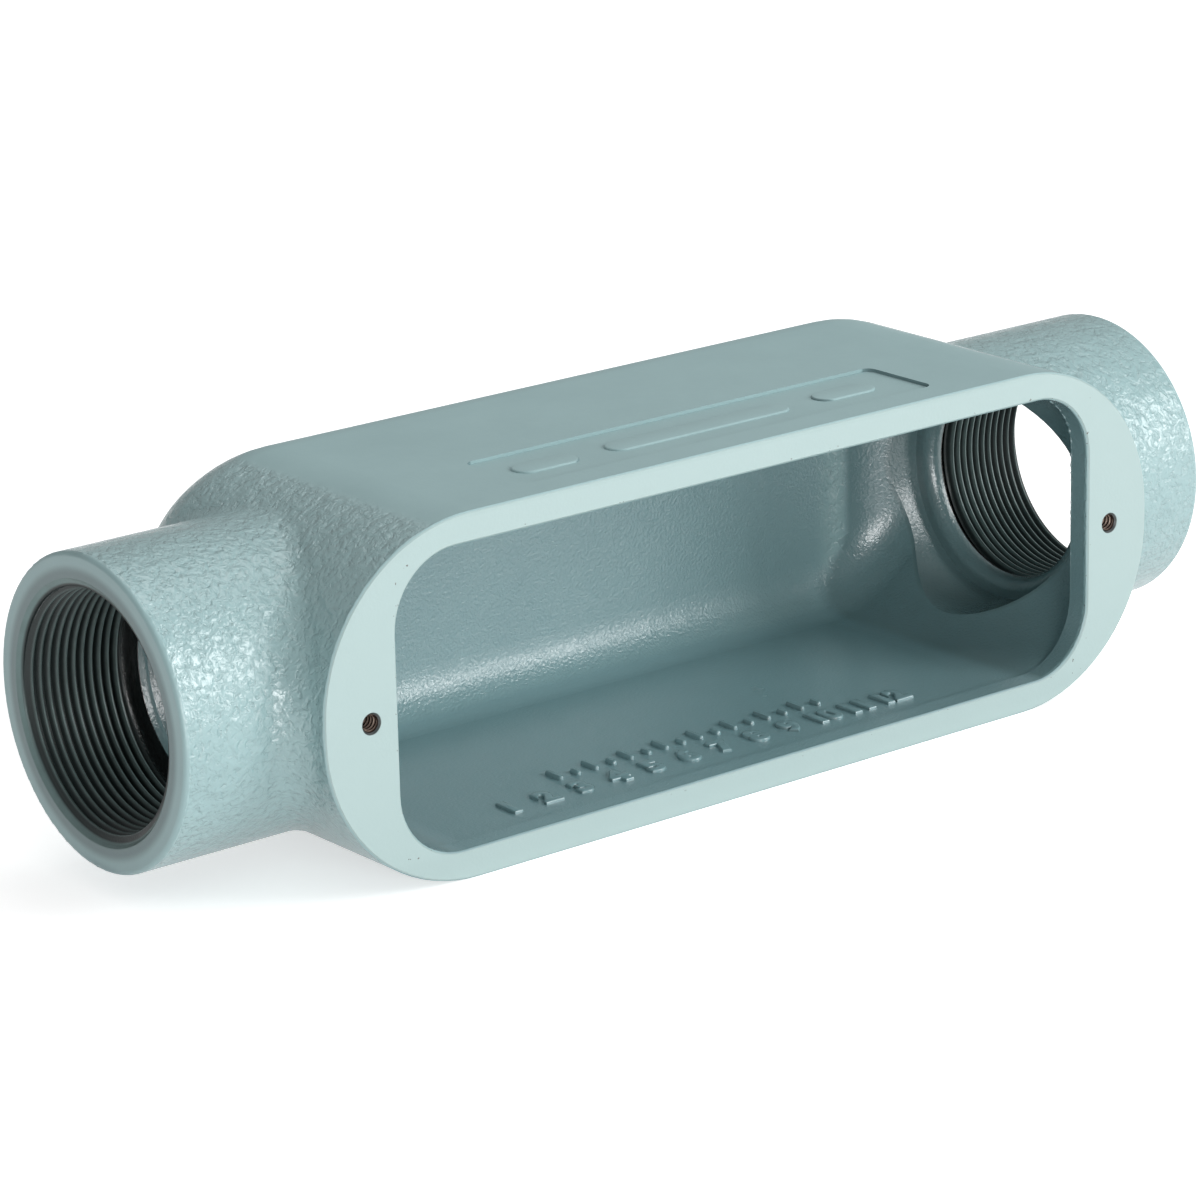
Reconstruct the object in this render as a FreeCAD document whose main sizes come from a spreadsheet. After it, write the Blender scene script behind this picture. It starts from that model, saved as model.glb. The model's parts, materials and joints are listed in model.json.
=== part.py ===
"""Straight conduit body, two inch trade size: one iron casting, machined and painted.

The casting is a long open box with a threaded hub on each end.  It is made the way the
foundry makes it.  "conduit_body" is the outside shape, "sand_core" is the shape of its
hollows, and a boolean takes the core out of the casting before the machined screw holes.

Frame: X along the conduit run, the open face towards -Y, +Z up.  The body lies on one flat
side, and the origin is at the middle of the bottom of its box.  Sizes are in millimetres.
"""

import FreeCAD, Part
import math
import os

import Sketcher

# Driving sizes: alias, value, what it is.
SIZES = [
    ("overall_length", 307.8, "mouth of one hub to mouth of the other"),
    ("flange_length", 249.5, "length of the box at the cover flange"),
    ("body_width", 85.0, "flat side to flat side"),
    ("body_depth", 89.4, "cover flange to the back"),
    ("end_flat", 3.2, "straight part of the rounded end of the outline"),
    ("plan_reach", 28.0, "how far in from the ends the back corners are rounded"),
    ("plan_radius", 30.5, "rounding of the back corners, seen from the side"),
    ("back_edge_radius", 18.5, "rounding all round the back"),
    ("wall", 6.4, "casting wall of the box"),
    ("hub_diameter", 73.0, "outside of each hub"),
    ("hub_axis_depth", 47.0, "cover flange to the axis of the hubs"),
    ("neck_radius", 8.0, "fillet between hub and box"),
    ("mouth_radius", 1.2, "rounding of the outer edge of each hub"),
    ("opening_length", 209.5, "cover opening, along the run"),
    ("opening_width", 70.8, "cover opening, across the run"),
    ("opening_corner", 16.8, "corner radius of the cover opening"),
    ("lip_thickness", 6.0, "depth of the flange lip before the box widens"),
    ("lip_chamfer", 0.5, "broken edge of the flange, along its outer rim and its opening"),
    ("inner_edge_radius", 12.0, "rounding inside, all round the back"),
    ("thread_bore", 57.4, "bore at the pitch line of the conduit thread"),
    ("thread_length", 25.0, "length of the threaded bore"),
    ("mouth_chamfer", 1.8, "lead-in at the mouth, along and across"),
    ("relief_bore", 59.0, "groove behind the thread"),
    ("relief_length", 3.0, "length of that groove"),
    ("throat_bore", 52.4, "integral bushing that stops the conduit"),
    ("throat_length", 4.0, "length of the bushing throat"),
    ("throat_radius", 3.0, "rounding of the bushing where wires leave it"),
    ("hub_inside", 63.0, "inside of the hub behind the bushing"),
    ("screw_spacing", 224.3, "cover screw to cover screw"),
    ("screw_bore", 4.2, "tapped hole of each cover screw"),
    ("screw_chamfer", 0.5, "countersink of each tapped hole"),
    ("panel_length", 123.0, "marking panel on the upper side, along the run"),
    ("panel_width", 23.0, "marking panel, across"),
    ("panel_edge", 8.5, "cover flange to the panel"),
    ("panel_recess", 0.8, "depth of the panel"),
    ("panel_corner", 2.5, "corner radius of the panel"),
]

OVERRUN = 5.0  # how far a cutting shape runs past the face it opens
ROUND_OFF = 1e-4  # coordinates nearer than this are taken as equal
SEEK = 0.05  # how near an edge lies to the place where it is looked for
OPENING_WAY = FreeCAD.Vector(0, 1, 0)
ACROSS = FreeCAD.Vector(0, 0, 1)
HUB_AXIS_Y = "hub_axis_depth - body_depth / 2"
HUB_AXIS_Z = "body_width / 2"


# ---------------------------------------------------------------- document helpers


def make_sheet(doc):
    """Put the driving sizes in a spreadsheet, one aliased cell each."""
    sheet = doc.addObject("Spreadsheet::Sheet", "Sizes")
    for row, (alias, value, meaning) in enumerate(SIZES, start=1):
        sheet.set(f"A{row}", meaning)
        sheet.set(f"B{row}", str(value))
        sheet.setAlias(f"B{row}", alias)
    doc.recompute()
    return sheet


def cells(expression):
    """Write out an expression whose words are aliases of the spreadsheet."""
    aliases = {alias for alias, _, _ in SIZES}
    words = expression.split()
    return " ".join(f"Sizes.{word}" if word in aliases else word for word in words)


def amount(thing, expression):
    """Value of an expression whose words are aliases of the spreadsheet."""
    return float(thing.evalExpression(cells(expression)))


def new_body(doc, label):
    body = doc.addObject("PartDesign::Body", label)
    body.Label = label
    return body


def origin_plane(body, role):
    return next(item for item in body.Origin.OriginFeatures if item.Role == role)


def new_sketch(body, name, role, offset=("0", "0", "0")):
    """A sketch on an origin plane, moved by three expressions in the plane's own axes."""
    sketch = body.newObject("Sketcher::SketchObject", name)
    sketch.AttachmentSupport = (origin_plane(body, role), [""])
    sketch.MapMode = "FlatFace"
    for axis, expression in zip("xyz", offset):
        sketch.setExpression(f"AttachmentOffset.Base.{axis}", cells(expression))
    body.Document.recompute()
    return sketch


def hold(sketch, kind, index, point, axis, expression):
    """Hold one coordinate of a sketch point at the value of an expression."""
    distance = amount(sketch, expression)
    if abs(distance) < ROUND_OFF:
        sketch.addConstraint(Sketcher.Constraint("PointOnObject", index, point, axis))
        return
    item = Sketcher.Constraint(kind, -1, 1, index, point, distance)
    number = sketch.addConstraint(item)
    sketch.setExpression(f"Constraints[{number}]", cells(expression))


def draw_outline(sketch, corners):
    """A closed outline of straight sides, each corner held by an expression pair."""
    places = []
    for across, up in corners:
        places.append(FreeCAD.Vector(amount(sketch, across), amount(sketch, up), 0))
    count = len(places)
    for index in range(count):
        line = Part.LineSegment(places[index], places[(index + 1) % count])
        sketch.addGeometry(line, False)
    for index in range(count):
        joint = Sketcher.Constraint("Coincident", index, 2, (index + 1) % count, 1)
        sketch.addConstraint(joint)
    for index, (across, up) in enumerate(corners):
        hold(sketch, "DistanceX", index, 1, -2, across)
        hold(sketch, "DistanceY", index, 1, -1, up)


def centred_box(half_length, low, high):
    """Corners of a rectangle that is centred along the run."""
    left = f"-1 * ( {half_length} )"
    return [(left, low), (half_length, low), (half_length, high), (left, high)]


def draw_rounded_box(sketch, half_length, low, high, radius):
    """A rectangle centred along the run, with its four corners rounded to one radius."""
    right, bottom, top, corner = (amount(sketch, item) for item in (half_length, low, high, radius))
    outline = centred_box(half_length, low, high)
    turns = [(-right, bottom, 1, 1), (right, bottom, -1, 1), (right, top, -1, -1), (-right, top, 1, -1)]
    join = Sketcher.Constraint
    for index, (x, y, inwards, upwards) in enumerate(turns):
        centre = FreeCAD.Vector(x + inwards * corner, y + upwards * corner, 0)
        first = math.pi + index * math.pi / 2
        circle = Part.Circle(centre, FreeCAD.Vector(0, 0, 1), corner)
        sketch.addGeometry(Part.ArcOfCircle(circle, first, first + math.pi / 2), False)
    for index in range(4):
        start = sketch.getPoint(index, 2)
        finish = sketch.getPoint((index + 1) % 4, 1)
        sketch.addGeometry(Part.LineSegment(start, finish), False)
    for index in range(4):
        side = 4 + index
        sketch.addConstraint(join("Tangent", index, 2, side, 1))
        sketch.addConstraint(join("Tangent", side, 2, (index + 1) % 4, 1))
        sketch.addConstraint(join("Horizontal" if index % 2 == 0 else "Vertical", side))
    for index in range(1, 4):
        sketch.addConstraint(join("Equal", 0, index))
    number = sketch.addConstraint(join("Radius", 0, corner))
    sketch.setExpression(f"Constraints[{number}]", cells(radius))
    hold(sketch, "DistanceY", 4, 1, -1, outline[0][1])
    hold(sketch, "DistanceX", 5, 1, -2, outline[1][0])
    hold(sketch, "DistanceY", 6, 1, -1, outline[2][1])
    hold(sketch, "DistanceX", 7, 1, -2, outline[3][0])


def extrude(body, kind, name, sketch, length, symmetric=False, backwards=False):
    """Pad or pocket a sketch by the length that an expression gives."""
    feature = body.newObject(f"PartDesign::{kind}", name)
    feature.Profile = sketch
    feature.setExpression("Length", cells(length))
    feature.SideType = "Symmetric" if symmetric else "One side"
    feature.Reversed = backwards
    body.Document.recompute()
    return feature


def ease_edges(body, kind, name, base, chosen, size):
    """Fillet or chamfer those edges of a feature for which chosen(edge) is true."""
    feature = body.newObject(f"PartDesign::{kind}", name)
    names = [f"Edge{number}" for number, edge in enumerate(base.Shape.Edges, start=1) if chosen(edge)]
    feature.Base = (base, names)
    feature.setExpression("Radius" if kind == "Fillet" else "Size", cells(size))
    body.Document.recompute()
    return feature


# ---------------------------------------------------------------- choosing edges


def runs_along(edge, direction):
    """True for a straight edge that is parallel to a direction."""
    if not isinstance(edge.Curve, Part.Line):
        return False
    return abs(abs(edge.Curve.Direction.dot(direction)) - 1.0) < ROUND_OFF


def on_back_rim(edge, rim_start, back):
    """True for an edge where the rounded back meets the sides and the ends."""
    box = edge.BoundBox
    seam = runs_along(edge, ACROSS) and box.YMin > back - ROUND_OFF
    return box.YMin > rim_start - ROUND_OFF and not seam


def on_cylinder(edge, axis_point, radius, reach):
    """True for an edge on a cylinder along the run, no further out than reach."""
    places = [edge.valueAt(edge.getParameterByLength(edge.Length * share)) for share in (0.1, 0.5, 0.9)]
    offsets = [((place.y - axis_point.y) ** 2 + (place.z - axis_point.z) ** 2) ** 0.5 for place in places]
    near = all(abs(offset - radius) < SEEK for offset in offsets)
    return near and max(abs(place.x) for place in places) < reach


def is_ring(edge, station, radius):
    """True for a full circle round the hub axis at a distance along the run, either way."""
    if not isinstance(edge.Curve, Part.Circle) or abs(edge.Curve.Radius - radius) > SEEK:
        return False
    return abs(abs(edge.Curve.Center.x) - station) < SEEK


def is_screw_rim(edge, radius, front):
    """True for the rim of a screw hole in the flange face."""
    if not isinstance(edge.Curve, Part.Circle) or abs(edge.Curve.Radius - radius) > SEEK:
        return False
    return abs(edge.Curve.Center.y - front) < SEEK


# ---------------------------------------------------------------- shapes of both bodies


def back_corner_sketch(body, name, end, back, start, radius):
    """Two corner pieces to cut away, so that the back is rounded where it meets the ends.

    Seen from the side, each corner is an arc.  It runs out of the back tangentially at start,
    measured inwards from the end, and leaves through the end.
    """
    sketch = new_sketch(body, name, "XY_Plane")
    end_x, back_y, inset, arc_radius = (
        amount(sketch, expression) for expression in (end, back, start, radius)
    )
    drop = arc_radius - (arc_radius**2 - inset**2) ** 0.5
    join = Sketcher.Constraint
    for side in (1, -1):
        centre = FreeCAD.Vector(side * (end_x - inset), back_y - arc_radius, 0)
        low = FreeCAD.Vector(side * end_x, back_y - drop, 0)
        corner = FreeCAD.Vector(side * end_x, back_y, 0)
        high = FreeCAD.Vector(side * (end_x - inset), back_y, 0)
        first, last = sorted(math.atan2(place.y - centre.y, place.x - centre.x) for place in (low, high))
        circle = Part.Circle(centre, FreeCAD.Vector(0, 0, 1), arc_radius)
        arc = sketch.addGeometry(Part.ArcOfCircle(circle, first, last), False)
        along_end = sketch.addGeometry(Part.LineSegment(low, corner), False)
        along_back = sketch.addGeometry(Part.LineSegment(corner, high), False)
        low_point, high_point = (1, 2) if side == 1 else (2, 1)
        sketch.addConstraint(join("Coincident", arc, low_point, along_end, 1))
        sketch.addConstraint(join("Coincident", along_end, 2, along_back, 1))
        sketch.addConstraint(join("Coincident", along_back, 2, arc, high_point))
        sketch.addConstraint(join("Vertical", along_end))
        sketch.addConstraint(join("Horizontal", along_back))
        sign = "" if side == 1 else "-1 * "
        hold(sketch, "DistanceX", along_back, 1, -2, f"{sign}( {end} )")
        hold(sketch, "DistanceY", along_back, 1, -1, back)
        hold(sketch, "DistanceX", arc, 3, -2, f"{sign}( {end} - ( {start} ) )")
        hold(sketch, "DistanceX", along_back, 2, -2, f"{sign}( {end} - ( {start} ) )")
        number = sketch.addConstraint(join("Radius", arc, arc_radius))
        sketch.setExpression(f"Constraints[{number}]", cells(radius))
    return sketch


def rounded_box(body, inset, front, edge_radius):
    """The long box with round ends and a rounded back, inset all round from the outside.

    front is where it starts, measured from the cover flange.  Inset 0 and front 0 give the
    outside of the casting, and the wall and the lip give the hollow.
    """
    half = f"( flange_length / 2 - {inset} )"
    back = f"( body_depth / 2 - {inset} )"
    round_end = f"( ( body_width - end_flat ) / 2 - {inset} )"
    outline = new_sketch(body, "Outline", "XZ_Plane", ("0", "0", f"body_depth / 2 - {front}"))
    draw_outline(outline, centred_box(half, inset, f"body_width - {inset}"))
    block = extrude(body, "Pad", "Box", outline, f"body_depth - {front} - {inset}", backwards=True)
    ends = ease_edges(body, "Fillet", "RoundEnds", block, lambda edge: runs_along(edge, OPENING_WAY), round_end)
    reach = f"( plan_reach - {inset} )"
    corners = back_corner_sketch(body, "BackCornerSketch", half, back, reach, f"plan_radius - {inset}")
    shaped = extrude(body, "Pocket", "BackCorners", corners, "3 * body_width", symmetric=True)

    radius = amount(body, f"plan_radius - {inset}")
    drop = radius - (radius**2 - amount(body, reach) ** 2) ** 0.5
    rim_start = amount(body, back) - drop
    return ease_edges(
        body, "Fillet", "BackEdge", shaped,
        lambda edge: on_back_rim(edge, rim_start, amount(body, back)), edge_radius,
    )


# ---------------------------------------------------------------- the casting


def build_outside(doc):
    """Outside of the casting: the box, the two hubs and the fillets that join them."""
    body = new_body(doc, "conduit_body")
    rounded_box(body, "0", "0", "back_edge_radius")

    circle = new_sketch(body, "HubCircle", "YZ_Plane", (HUB_AXIS_Y, HUB_AXIS_Z, "0"))
    ring = Part.Circle(FreeCAD.Vector(0, 0, 0), FreeCAD.Vector(0, 0, 1), amount(body, "hub_diameter / 2"))
    circle.addGeometry(ring, False)
    circle.addConstraint(Sketcher.Constraint("Coincident", 0, 3, -1, 1))
    number = circle.addConstraint(Sketcher.Constraint("Diameter", 0, amount(body, "hub_diameter")))
    circle.setExpression(f"Constraints[{number}]", cells("hub_diameter"))
    hubs = extrude(body, "Pad", "Hubs", circle, "overall_length", symmetric=True)

    axis_point = FreeCAD.Vector(0, amount(body, HUB_AXIS_Y), amount(body, HUB_AXIS_Z))
    reach = amount(body, "overall_length / 2") - SEEK
    necks = ease_edges(
        body, "Fillet", "Necks", hubs,
        lambda edge: on_cylinder(edge, axis_point, amount(body, "hub_diameter / 2"), reach), "neck_radius",
    )
    mouths = ease_edges(
        body, "Fillet", "Mouths", necks,
        lambda edge: edge.BoundBox.XLength < SEEK and abs(edge.BoundBox.XMin) > reach, "mouth_radius",
    )
    return body, mouths


# ---------------------------------------------------------------- the hollows


def hub_profile():
    """Half section of one hub's hollow: distance along the run, and radius, of each corner."""
    mouth = "overall_length / 2"
    thread_end = f"{mouth} - mouth_chamfer"
    thread_start = f"{thread_end} - thread_length"
    throat_end = f"{thread_start} - relief_length"
    throat_start = f"{throat_end} - throat_length"
    mouth_radius = "thread_bore / 2 + mouth_chamfer"
    beyond = f"{mouth} + {OVERRUN}"
    return [
        ("opening_length / 4", "0"),
        ("opening_length / 4", "hub_inside / 2"),
        (throat_start, "hub_inside / 2"),
        (throat_start, "throat_bore / 2"),
        (throat_end, "throat_bore / 2"),
        (throat_end, "relief_bore / 2"),
        (thread_start, "relief_bore / 2"),
        (thread_start, "thread_bore / 2"),
        (thread_end, "thread_bore / 2"),
        (mouth, mouth_radius),
        (beyond, mouth_radius),
        (beyond, "0"),
    ]


def build_core(doc):
    """Shape of everything hollow: the box inside, its opening, and the way through each hub."""
    body = new_body(doc, "sand_core")
    rounded_box(body, "wall", "lip_thickness", "inner_edge_radius")

    outline = new_sketch(body, "OpeningOutline", "XZ_Plane", ("0", "0", f"body_depth / 2 + {OVERRUN}"))
    low, high = "( body_width - opening_width ) / 2", "( body_width + opening_width ) / 2"
    draw_rounded_box(outline, "opening_length / 2", low, high, "opening_corner")
    extrude(body, "Pad", "Opening", outline, f"lip_thickness + {OVERRUN}", backwards=True)

    profile = new_sketch(body, "HubProfile", "XY_Plane", ("0", HUB_AXIS_Y, HUB_AXIS_Z))
    draw_outline(profile, hub_profile())
    way = body.newObject("PartDesign::Revolution", "HubWay")
    way.Profile = profile
    way.ReferenceAxis = (profile, ["H_Axis"])
    doc.recompute()
    ways = body.newObject("PartDesign::Mirrored", "HubWays")
    ways.Originals = [way]
    ways.MirrorPlane = (origin_plane(body, "YZ_Plane"), [""])
    body.Tip = ways
    doc.recompute()

    throat_radius = amount(body, "throat_bore / 2")
    throat_start = amount(body, hub_profile()[3][0])
    ease_edges(
        body, "Fillet", "BushingEdges", ways,
        lambda edge: is_ring(edge, throat_start, throat_radius), "throat_radius",
    )
    return body


# ---------------------------------------------------------------- coring and machining


def take_out_core(body, core):
    """Cut the hollows out of the casting."""
    cored = body.newObject("PartDesign::Boolean", "Cored")
    cored.Type = "Cut"
    cored.setObjects([core])
    body.Tip = cored
    body.Document.recompute()
    return cored


def ease_flange(body, cored):
    """Break the sharp rims of the machined flange, outside and along the opening."""
    front = -amount(body, "body_depth / 2")
    return ease_edges(
        body, "Chamfer", "FlangeRims", cored,
        lambda edge: edge.BoundBox.YMax < front + ROUND_OFF, "lip_chamfer",
    )


def drill_cover_screws(body):
    """Two tapped holes through the flange lip, with small countersinks."""
    face = new_sketch(body, "ScrewHoles", "XZ_Plane", ("0", "0", "body_depth / 2"))
    radius = amount(body, "screw_bore / 2")
    for index, side in enumerate(("", "-1 * ")):
        x, z = amount(body, f"{side}screw_spacing / 2"), amount(body, "body_width / 2")
        circle = Part.Circle(FreeCAD.Vector(x, z, 0), FreeCAD.Vector(0, 0, 1), radius)
        face.addGeometry(circle, False)
        hold(face, "DistanceX", index, 3, -2, f"{side}screw_spacing / 2")
        hold(face, "DistanceY", index, 3, -1, "body_width / 2")
        number = face.addConstraint(Sketcher.Constraint("Diameter", index, 2 * radius))
        face.setExpression(f"Constraints[{number}]", cells("screw_bore"))
    holes = extrude(body, "Pocket", "TappedHoles", face, f"lip_thickness + {OVERRUN}")

    front = -amount(body, "body_depth / 2")
    return ease_edges(
        body, "Chamfer", "Countersinks", holes,
        lambda edge: is_screw_rim(edge, radius, front), "screw_chamfer",
    )


def recess_panel(body):
    """The shallow marking panel in the upper side."""
    outline = new_sketch(body, "PanelOutline", "XY_Plane", ("0", "0", "body_width"))
    front = "panel_edge - body_depth / 2"
    draw_rounded_box(outline, "panel_length / 2", front, f"{front} + panel_width", "panel_corner")
    return extrude(body, "Pocket", "Panel", outline, "panel_recess")


# ---------------------------------------------------------------- checks and output


def check_document(doc):
    """Stop if any object failed to compute or any finished body isn't sound."""
    for item in doc.Objects:
        if "Invalid" in item.State or "Error" in item.State:
            raise RuntimeError(f"{item.Name} failed: {item.State}")
    for item in doc.findObjects("PartDesign::Body"):
        shape = item.Shape
        if shape.isNull() or not shape.isValid() or len(shape.Solids) != 1:
            raise RuntimeError(f"{item.Label} is not one sound solid")


def main():
    doc = FreeCAD.newDocument("ConduitBody")
    make_sheet(doc)
    core = build_core(doc)
    casting, outside = build_outside(doc)
    solid_volume = outside.Shape.Volume
    cored = take_out_core(casting, core)
    ease_flange(casting, cored)
    drill_cover_screws(casting)
    recess_panel(casting)
    check_document(doc)
    if casting.Shape.Volume > solid_volume / 2:
        raise RuntimeError("the core has taken out too little")
    print("hollow", round((solid_volume - casting.Shape.Volume) / 1000.0), "cm3")
    os.makedirs("parts", exist_ok=True)
    casting.Shape.exportStep(f"parts/{casting.Label}.step")


main()
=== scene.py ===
"""Looks of a straight conduit body: one iron casting, enamelled grey, with tapped hubs.

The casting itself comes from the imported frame.  This file paints it, taps its threads,
puts the cast marks and the rough rim of the core on it, and sets it in a plain studio.

Frame, in metres: X along the conduit run, the cover opening towards -Y, +Z up.
"""

import json
import logging
import math
from dataclasses import dataclass, field
from enum import Enum
from functools import cached_property
from typing import Any, Iterable, Sequence

import bmesh
import bpy
import numpy as np
from mathutils import Matrix, Vector

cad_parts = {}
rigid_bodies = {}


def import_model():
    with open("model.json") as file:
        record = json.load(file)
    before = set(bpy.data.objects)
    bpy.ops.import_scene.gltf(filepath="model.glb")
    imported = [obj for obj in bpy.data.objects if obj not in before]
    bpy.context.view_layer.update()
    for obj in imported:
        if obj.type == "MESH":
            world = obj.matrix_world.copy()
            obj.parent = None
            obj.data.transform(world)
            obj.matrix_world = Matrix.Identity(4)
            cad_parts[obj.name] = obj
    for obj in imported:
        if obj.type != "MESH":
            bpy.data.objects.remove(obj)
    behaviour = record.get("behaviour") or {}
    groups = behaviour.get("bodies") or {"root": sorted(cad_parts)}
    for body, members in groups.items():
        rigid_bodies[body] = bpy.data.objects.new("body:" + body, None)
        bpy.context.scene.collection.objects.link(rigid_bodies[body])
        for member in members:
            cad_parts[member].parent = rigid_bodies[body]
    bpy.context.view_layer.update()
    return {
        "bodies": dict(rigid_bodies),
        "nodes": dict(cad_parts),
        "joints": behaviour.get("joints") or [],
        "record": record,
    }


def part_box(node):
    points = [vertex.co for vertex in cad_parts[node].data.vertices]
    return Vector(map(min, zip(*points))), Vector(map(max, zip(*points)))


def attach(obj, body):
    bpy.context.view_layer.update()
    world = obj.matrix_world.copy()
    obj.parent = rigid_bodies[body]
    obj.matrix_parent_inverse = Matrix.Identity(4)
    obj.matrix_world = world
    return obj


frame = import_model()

LOG = logging.getLogger("conduit_body")
MM = 0.001
TURN = 2.0 * math.pi
BODY = "root"
NODE = "conduit_body"

Colour = tuple[float, float, float]
Span = tuple[float, float]


class Side(Enum):
    """The two ends of the run, as the sign of X."""

    LEFT = -1
    RIGHT = 1

    @property
    def word(self) -> str:
        """Name of the side in piece names."""
        return self.name.lower()


# ---------------------------------------------------------------- finishes


@dataclass(frozen=True)
class Enamel:
    """Semi-gloss enamel over sand-cast and machined iron.

    Lengths are in metres, colours linear.
    """

    colour: Colour = (0.288, 0.436, 0.446)
    thin_colour: Colour = (0.246, 0.376, 0.388)
    face_colour: Colour = (0.345, 0.456, 0.449)
    # Painted shade for the hollow and its floor.
    hollow_colour: Colour = (0.190, 0.315, 0.335)
    # Painted shade for the hubs' throats and the end walls that face inwards.
    damp_colour: Colour = (0.070, 0.108, 0.108)
    chip_colour: Colour = (0.100, 0.095, 0.090)
    roughness: float = 0.25
    roughness_play: float = 0.10
    gloss: float = 0.95
    coat: float = 0.10
    coat_roughness: float = 0.20
    grain_size: float = 1.45 * MM
    grain_height: float = 0.82 * MM
    ripple_size: float = 6.5 * MM
    ripple_height: float = 0.10 * MM


@dataclass(frozen=True)
class ThreadMetal:
    """Cast iron of the tapped hubs: near-black painted shade in the grooves, lighter towards the
    crests.

    Paint has run a little way in at the mouth.
    """

    # Painted shade: the grooves are near-black.
    groove: Colour = (0.012, 0.020, 0.020)
    crest: Colour = (0.120, 0.170, 0.166)
    mouth: Colour = (0.150, 0.225, 0.222)
    metallic: float = 0.20
    roughness: float = 0.42


@dataclass(frozen=True)
class ScrewMetal:
    """Bare tapped iron of the cover screw holes, with a film of brown rust."""

    rust: Colour = (0.040, 0.024, 0.018)
    crest: Colour = (0.440, 0.345, 0.285)
    metallic: float = 0.75
    roughness: float = 0.38


@dataclass(frozen=True)
class SkinPlaces:
    """Where one finish of the casting gives way to another, in metres.

    A mask is nought at the first number of its span and full at the second.
    """

    flange: Span = (0.9 * MM, 0.4 * MM)  # back from the cover flange
    flange_paint: Span = (0.35 * MM, 0.15 * MM)  # the same, for the flange's own colour
    rim: Span = (1.6 * MM, 0.6 * MM)  # in from a hub's mouth
    flat_side: Span = (1.9 * MM, 0.9 * MM)  # in from a flat side
    floor_rise: Span = (2.5 * MM, 0.3 * MM)  # up from the inside floor
    floor_inset: Span = (1.5 * MM, 4 * MM)  # in from a flat side
    round_ends: Span = (82 * MM, 98 * MM)  # out from the middle
    buried: Span = (3 * MM, 4.5 * MM)  # in from the outside
    hollow_depth: Span = (4 * MM, 5.5 * MM)  # back from the cover flange
    hollow_reach: Span = (97 * MM, 88 * MM)  # out from the middle
    throat: Span = (34.0 * MM, 31.6 * MM)  # off the hubs' axis
    throat_reach: Span = (36 * MM, 18 * MM)  # in from the start of the thread
    turned_in: Span = (-3 * MM, -18 * MM)  # place along the run times direction along it
    turned_depth: Span = (0.8 * MM, 1.6 * MM)  # back from the cover flange
    turned_reach: Span = (3 * MM, 6 * MM)  # in from a hub's mouth
    chipped: Span = (1.6 * MM, 0.6 * MM)  # out from the cover opening
    chipped_depth: Span = (1.4 * MM, 0.3 * MM)  # back from the cover flange
    tapped: Span = (30.45 * MM, 30.2 * MM)  # off the hubs' axis
    tapped_reach: Span = (3.3 * MM, 3.1 * MM)  # in from the start of the thread
    screw: Span = (0.55 * MM, 0.35 * MM)  # out from a screw's hole
    screw_depth: Span = (0.3 * MM, 0.1 * MM)  # back from the lip


@dataclass(frozen=True)
class GrainMix:
    """Shares of the layers that make up the relief of the cast skin."""

    least: float = 0.45  # grain of the long sides; the round ends have it in full
    floor_smoothness: float = 0.75
    crinkle: float = 0.55
    crinkle_top: float = 0.16
    crinkle_blunting: float = 0.0016
    plain: float = 0.7
    fine: float = 0.34
    fine_lost_at_ends: float = 0.16
    peel: float = 0.035
    machined_dulling: float = 0.20
    flat_dulling: float = 0.45


def back_from(limit: float, span: Span) -> Span:
    """A span measured back from a limit.

    Args:
        limit: Where it is measured from.
        span: Distances of its two ends.

    Returns:
        Places of its two ends.
    """
    return limit - span[0], limit - span[1]


def out_from(limit: float, span: Span) -> Span:
    """A span measured outwards from a limit.

    Args:
        limit: Where it is measured from.
        span: Distances of its two ends.

    Returns:
        Places of its two ends.
    """
    return limit + span[0], limit + span[1]


# ---------------------------------------------------------------- shader maths


class Reading:
    """A number that varies over the surface: an output socket with operators.

    Each operator adds one Math node to the bench that the reading belongs to.
    """

    def __init__(self, bench: "NodeBench", socket: bpy.types.NodeSocket) -> None:
        """Keep the bench and the socket.

        Args:
            bench: The bench on which new nodes are made.
            socket: The output socket that carries the number.
        """
        self.bench = bench
        self.socket = socket

    def _with(self, operation: str, *others: "Reading | float", first: bool = True) -> "Reading":
        """One Math node on this reading and others.

        Args:
            operation: Name of the Math node's operation.
            others: What the operation takes besides this reading.
            first: False puts this reading second.

        Returns:
            The node's result.
        """
        terms: list[Any] = [self, *others] if first else [*others, self]
        return self.bench.maths(operation, terms)

    def __add__(self, other: "Reading | float") -> "Reading":
        """Sum."""
        return self._with("ADD", other)

    def __radd__(self, other: float) -> "Reading":
        """Sum with a number on the left."""
        return self._with("ADD", other)

    def __sub__(self, other: "Reading | float") -> "Reading":
        """Difference."""
        return self._with("SUBTRACT", other)

    def __rsub__(self, other: float) -> "Reading":
        """Difference from a number on the left."""
        return self._with("SUBTRACT", other, first=False)

    def __mul__(self, other: "Reading | float") -> "Reading":
        """Product."""
        return self._with("MULTIPLY", other)

    def __rmul__(self, other: float) -> "Reading":
        """Product with a number on the left."""
        return self._with("MULTIPLY", other)

    def size(self) -> "Reading":
        """Its distance from nought."""
        return self._with("ABSOLUTE")

    def root(self) -> "Reading":
        """Its square root."""
        return self._with("SQRT")

    def least(self, other: "Reading | float") -> "Reading":
        """The smaller of two."""
        return self._with("MINIMUM", other)

    def most(self, other: "Reading | float") -> "Reading":
        """The larger of two."""
        return self._with("MAXIMUM", other)

    def length_with(self, other: "Reading") -> "Reading":
        """Length of the vector that has these two parts."""
        return (self * self + other * other).root()

    def ramp(self, start: float, end: float) -> "Reading":
        """Smooth step from 0 at start to 1 at end; start may be the larger.

        Args:
            start: Where the result is 0.
            end: Where the result is 1.

        Returns:
            The smooth step.
        """
        low, high = min(start, end), max(start, end)
        node = self.bench.node(
            "ShaderNodeMapRange",
            {"interpolation_type": "SMOOTHSTEP"},
            {"Value": self, "From Min": low, "From Max": high},
        )
        step = Reading(self.bench, node.outputs["Result"])
        return step if start < end else 1.0 - step


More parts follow.
